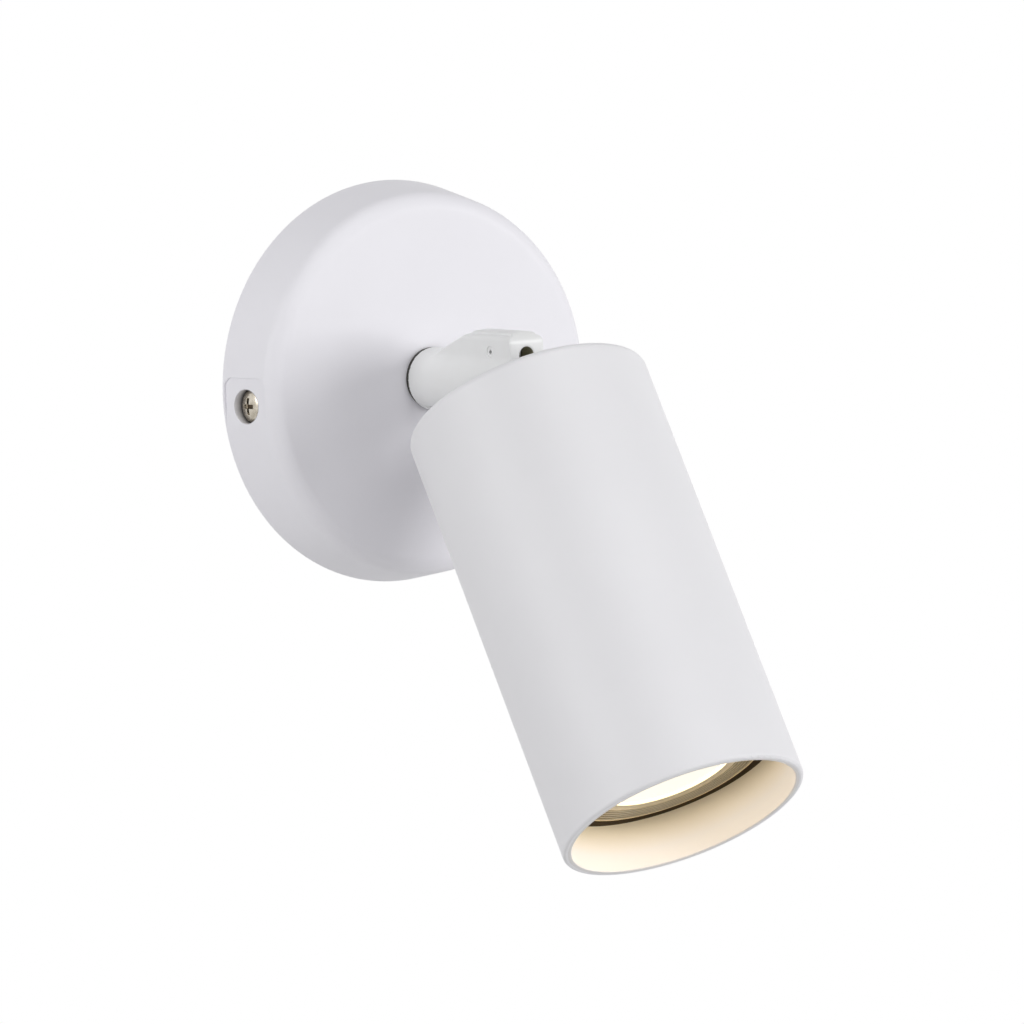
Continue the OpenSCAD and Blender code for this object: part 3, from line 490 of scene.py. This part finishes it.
white_coat = finish("white_powder_coat", canopy_tones, metal=0.0, rough=(0.45, 0.58), grain_mm=0.35,
                    deep_mm=0.010, mottle_mm=40)
tree = white_coat.node_tree
aside, from_screw = near_screw(tree)
# Painted shade: the coat turns dark deep in each screw recess, fading out towards its mouth.
painted_recess_shade = where_all(tree, [
    step(tree, "LESS_THAN", from_screw, recess_half),
    rising(tree, aside, recess_floor + pale_above_floor, recess_floor + dark_above_floor)])
bared(white_coat, painted_recess_shade, recess_shade_tones)
dress("canopy", white_coat)

# The side screws. They are nickel plated, with a domed head and a cross recess that has painted
# shade inside, and hold the canopy on the strap's tabs.
nickel_tones = [(0.42, 0.38, 0.31), (0.62, 0.57, 0.49)]
cross_shade_tones = [(0.05, 0.035, 0.02), (0.09, 0.065, 0.04)]
cross_half = 1.6
cross_from_middle = 47.3
nickel = finish("nickel_plate", nickel_tones, metal=1.0, rough=(0.22, 0.34), grain_mm=0.3, deep_mm=0.01,
                mottle_mm=1.5)
tree = nickel.node_tree
aside, from_screw = near_screw(tree)
# Painted shade: a dark disc in the middle of each screw head, inside its cross recess.
painted_cross_shade = where_all(tree, [step(tree, "LESS_THAN", from_screw, cross_half),
                            step(tree, "LESS_THAN", aside, cross_from_middle)])
bared(nickel, painted_cross_shade, cross_shade_tones)
dress("side_screws", nickel, round_mm=0.04, flat_deg=0.01)

# The swivel. A hollow steel nipple joins the stem to the canopy, with a stop washer, a split
# spring washer and a nut inside, and a dark fibre washer on each side of the sheet. The one
# behind the stem has soft edges, and lies a little up and aside on its play.
fibre_tones = [(0.035, 0.033, 0.03), (0.06, 0.055, 0.05)]
washer_half = 7.5
washer_bore_share = 0.7
washer_play = 0.2
washer_edge = 0.06
fibre = finish("dark_fibre", fibre_tones, metal=0.0, rough=(0.6, 0.8), grain_mm=0.2, deep_mm=0.02)
low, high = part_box("stem_washer")
washer_aside = -washer_play / mm_per_metre
washer_middle = (low[1] + high[1]) / 2
washer_up = (stem_up + washer_play) / mm_per_metre
bpy.ops.object.select_all(action="DESELECT")
bpy.ops.mesh.primitive_circle_add(vertices=96, radius=washer_half / mm_per_metre, fill_type="NOTHING")
washer = bpy.context.object
washer.name = "fibre_washer"
bpy.ops.object.mode_set(mode="EDIT")
bpy.ops.mesh.select_all(action="SELECT")
bpy.ops.mesh.extrude_edges_move()
bpy.ops.transform.resize(value=(washer_bore_share, washer_bore_share, 1))
bpy.ops.mesh.select_all(action="SELECT")
bpy.ops.mesh.normals_make_consistent(inside=False)
bpy.ops.object.mode_set(mode="OBJECT")
washer.rotation_euler = (math.radians(90), 0, 0)
washer.location = (washer_aside, washer_middle, washer_up)
bpy.ops.object.transform_apply(location=True, rotation=True, scale=True)
thick = washer.modifiers.new("thick", "SOLIDIFY")
thick.thickness = high[1] - low[1]
thick.offset = 0
soft = washer.modifiers.new("soft", "BEVEL")
soft.width = washer_edge / mm_per_metre
soft.limit_method = "ANGLE"
for modifier in ("thick", "soft"):
    bpy.ops.object.modifier_apply(modifier=modifier)
paint(washer, fibre)
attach(washer, "arm")
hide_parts("stem_washer")
dress("inner_washer", fibre)
for node in ("stem_nipple", "stop_washer", "spring_washer", "swivel_nut", "tilt_washers"):
    dress(node, zinc)

# The knuckle. It is die cast with the stem in one piece, slotted for the hinge's tongue and
# neck, and painted a smoother, more neutral white than the canopy. A hollow pin crosses it.
# Inside the slot the cast metal and the tongue are painted dark olive, as the shade in the slot.
knuckle_tones = [(0.80, 0.805, 0.80), (0.84, 0.845, 0.84)]
slot_shade_tones = [(0.20, 0.19, 0.12), (0.38, 0.36, 0.25)]
slot_half = 2.2
slot_top = 10.95
slot_end = 59.15
tongue_end = 8.5
cast_voxel_mm = 0.2


def at_hinge(tree):
    """A point of the surface in mm, across, over and along the head, from its hinge."""
    return turned(tree, hinge_at, head_turn)


knuckle_paint = finish("knuckle_paint", knuckle_tones, metal=0.0, rough=(0.28, 0.4), grain_mm=0.8,
                       deep_mm=0.012, mottle_mm=20)
knuckle_coat = knuckle_paint.copy()
knuckle_coat.name = "knuckle_coat"
tree = knuckle_coat.node_tree
aside, outward, height = turned(tree, (0, 0, 0), 0)
# Painted shade: the knuckle is dark olive inside its slot.
painted_slot_shade = where_all(tree, [
    step(tree, "LESS_THAN", step(tree, "ABSOLUTE", aside), slot_half),
    step(tree, "LESS_THAN", height, slot_top),
    step(tree, "LESS_THAN", outward, tongue_end - hinge_out),
    step(tree, "GREATER_THAN", outward, -slot_end)])
bared(knuckle_coat, painted_slot_shade, slot_shade_tones)
hinge_coat = knuckle_paint.copy()
hinge_coat.name = "hinge_coat"
tree = hinge_coat.node_tree
across, over, along = at_hinge(tree)
# Painted shade: the hinge's tongue is dark olive where it sits in the slot.
bared(hinge_coat, step(tree, "LESS_THAN", along, tongue_end), slot_shade_tones)
dress("tilt_pin", knuckle_paint, round_mm=0.03)
dress("head_hinge", hinge_coat)

knuckle = frame["nodes"]["knuckle_stem"]
paint(knuckle, knuckle_coat)
pick(knuckle)
bpy.ops.object.shade_smooth()
cast = knuckle.modifiers.new("cast", "REMESH")
cast.mode = "VOXEL"
cast.voxel_size = cast_voxel_mm / mm_per_metre
cast.use_smooth_shade = True
soften = knuckle.modifiers.new("soften", "SMOOTH")
soften.factor = 0.5
soften.iterations = 4

# The sleeve. Woven sleeving keeps the three leads together through the stem and the knuckle.
# Its middle stretch bends with the hinge, so here it is a loose copy of that piece, welded and
# smoothed by angle, in its place.
sleeve_tones = [(0.70, 0.68, 0.62), (0.80, 0.78, 0.72)]
gap_tones = [(0.42, 0.40, 0.35), (0.50, 0.48, 0.42)]
strand_slants = (45, -45)
strand_scale = 420
strand_width = 2.5
sleeve_smooth_deg = 40
woven = finish("woven_sleeve", sleeve_tones, metal=0.0, rough=(0.6, 0.8), grain_mm=0.3, deep_mm=0.05)
tree = woven.node_tree
strands = []
for slant in strand_slants:
    place = tree.nodes.new("ShaderNodeTexCoord")
    lie = tree.nodes.new("ShaderNodeMapping")
    lie.inputs["Rotation"].default_value = (0, math.radians(slant), math.radians(slant))
    tree.links.new(place.outputs["Object"], lie.inputs["Vector"])
    strand = tree.nodes.new("ShaderNodeTexWave")
    strand.inputs["Scale"].default_value = strand_scale
    strand.inputs["Distortion"].default_value = 0.4
    tree.links.new(lie.outputs[0], strand.inputs["Vector"])
    strands.append(strand.outputs["Fac"])
crossed = step(tree, "MULTIPLY", where_all(tree, strands), strand_width)
between = step(tree, "SUBTRACT", 1.0, step(tree, "MINIMUM", crossed, 1.0))
bared(woven, between, gap_tones)
for node in ("stem_sleeve", "head_sleeve"):
    dress(node, woven)

pick(frame["nodes"]["knuckle_sleeve"])
bpy.ops.object.duplicate()
bent = bpy.context.object
bent.name = "bent_sleeve"
bpy.ops.object.parent_clear(type="CLEAR_KEEP_TRANSFORM")
paint(bent, woven)
bpy.ops.object.mode_set(mode="EDIT")
bpy.ops.mesh.select_all(action="SELECT")
bpy.ops.mesh.remove_doubles(threshold=same_point_mm / mm_per_metre)
bpy.ops.object.mode_set(mode="OBJECT")
bpy.ops.object.shade_smooth_by_angle(angle=math.radians(sleeve_smooth_deg))
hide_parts("knuckle_sleeve")
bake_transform(bent)

# The head. It is a deep drawn aluminium tube, closed at the rear, with a rounded rim. It is
# coated white outside, and has painted shade, dark brown, inside between its rear wall and its rim.
head_tones = [(0.825, 0.82, 0.84), (0.845, 0.84, 0.86)]
inside_shade_tones = [(0.10, 0.065, 0.03), (0.14, 0.095, 0.045)]
shade_within = 29.35
shade_start = 15.8
shade_end = 127.5
head_coat = finish("head_coat", head_tones, metal=0.0, rough=(0.45, 0.58), grain_mm=0.35, deep_mm=0.010,
                   mottle_mm=40)
tree = head_coat.node_tree
across, over, along = at_hinge(tree)
# Painted shade: dark brown on the tube's inner wall, behind the ring and the lamp's front.
inside = where_all(tree, [
    step(tree, "LESS_THAN", reach(tree, across, over), shade_within),
    step(tree, "LESS_THAN", along, shade_end),
    step(tree, "GREATER_THAN", along, shade_start)])
bared(head_coat, inside, inside_shade_tones)
dress("head_shell", head_coat)

# The ring in the mouth. A short spun ring, coated with the head but in a darker tone as painted
# shade, pressed inside its rim to hide the lamp's edge. The lamp lights it from within, and its
# inner end is painted warm yellow as the lamp's light.
# Painted shade: the ring's coat is darker than the head's, tempering the lamp's light on it.
ring_shaded_tones = [(0.75, 0.73, 0.72), (0.77, 0.75, 0.74)]
lamplight_tones = [(0.92, 0.79, 0.54), (0.94, 0.81, 0.56)]
lamplight_start = 124
lamplight_full = 115
ring_coat = finish("ring_coat", ring_shaded_tones, metal=0.0, rough=(0.45, 0.58), grain_mm=0.35, deep_mm=0.010,
                   mottle_mm=40)
tree = ring_coat.node_tree
across, over, along = at_hinge(tree)
# Painted light: the ring turns warm yellow towards its inner end, for the lamp's light on it.
bared(ring_coat, rising(tree, along, lamplight_start, lamplight_full), lamplight_tones)
dress("mouth_ring", ring_coat)

# The lampholder. Unglazed ceramic halves and a folded steel bracket are clamped by a nut.
# Its contacts, the earth tag and the lamp's pins are brass.
ceramic_tones = [(0.82, 0.80, 0.74), (0.87, 0.85, 0.80)]
ceramic = finish("unglazed_ceramic", ceramic_tones, metal=0.0, rough=(0.5, 0.7), grain_mm=0.4, deep_mm=0.02)
for node in ("holder_back", "holder_body"):
    dress(node, ceramic)
for node in ("holder_bracket", "lock_washer", "head_nut", "holder_screws"):
    dress(node, zinc)
for node in ("earth_tag", "holder_contacts", "lamp_pins"):
    dress(node, brass)

# The lamp. A moulded cup with its driver and a board of light-emitting chips, behind a
# ribbed ring, plated bronze and lighter towards its outer edge, with painted shade in its grooves,
# and a frosted lens that glows warm white.
moulding_tones = [(0.84, 0.84, 0.82), (0.88, 0.88, 0.86)]
board_tones = [(0.05, 0.16, 0.08), (0.08, 0.22, 0.11)]
lens_tones = [(0.28, 0.27, 0.24), (0.32, 0.31, 0.28)]
bezel_inside = 16.8
bezel_outside = 24.8
bezel_inside_tone = (0.50, 0.45, 0.34, 1)
bezel_outside_tone = (0.95, 0.76, 0.42, 1)
groove_shade_tone = (0.12, 0.10, 0.06, 1)
rib_tone = (0.72, 0.64, 0.48, 1)
groove_count = 5
groove_first = 0.425
groove_pitch = 0.12
groove_half = 0.035
lens_seen_tone = (0.86, 0.82, 0.70, 1)
lens_seen_strength = 1.0
lens_cast_tone = (1.0, 0.84, 0.62, 1)
lens_cast_strength = 5.2
moulded = finish("lamp_moulding", moulding_tones, metal=0.0, rough=(0.25, 0.35), grain_mm=0.6, deep_mm=0.01)
for node in ("lamp_base", "lamp_housing", "led_board"):
    dress(node, moulded)
board = finish("circuit_board", board_tones, metal=0.0, rough=(0.3, 0.4), grain_mm=0.5, deep_mm=0.01)
dress("lamp_driver", board)

bronze = surface("bezel_metal", metal=0.9, rough=(0.3, 0.42), grain_mm=0.5, deep_mm=0.01)
tree = bronze.node_tree
across, over, along = at_hinge(tree)
bands = tree.nodes.new("ShaderNodeValToRGB")
bands.color_ramp.elements[0].color = bezel_inside_tone
bands.color_ramp.elements[1].color = bezel_outside_tone
# Painted shade: a dark band in each groove of the ring, between lighter rib edges.
for groove in range(groove_count):
    middle = groove_first + groove_pitch * groove
    for place, tone in ((middle - groove_half, rib_tone), (middle, groove_shade_tone),
                        (middle + groove_half, rib_tone)):
        bands.color_ramp.elements.new(place).color = tone
tree.links.new(rising(tree, reach(tree, across, over), bezel_inside, bezel_outside), bands.inputs["Fac"])
tree.links.new(bands.outputs["Color"], tree.nodes["Principled BSDF"].inputs["Base Color"])
dress("lamp_bezel", bronze, round_mm=0.05, flat_deg=0.1)

lens = finish("frosted_lens", lens_tones, metal=0.0, rough=(0.5, 0.6), grain_mm=0.6, deep_mm=0.01)
tree = lens.node_tree
shader = tree.nodes["Principled BSDF"]
rays = tree.nodes.new("ShaderNodeLightPath")
strength = tree.nodes.new("ShaderNodeMapRange")
strength.inputs["To Min"].default_value = lens_cast_strength
strength.inputs["To Max"].default_value = lens_seen_strength
tree.links.new(rays.outputs["Is Camera Ray"], strength.inputs["Value"])
tree.links.new(strength.outputs[0], shader.inputs["Emission Strength"])
tone = tree.nodes.new("ShaderNodeMix")
tone.data_type = "RGBA"
tone.inputs["A"].default_value = lens_cast_tone
tone.inputs["B"].default_value = lens_seen_tone
tree.links.new(rays.outputs["Is Camera Ray"], tone.inputs["Factor"])
tree.links.new(tone.outputs["Result"], shader.inputs["Emission Color"])
dress("lamp_lens", lens)
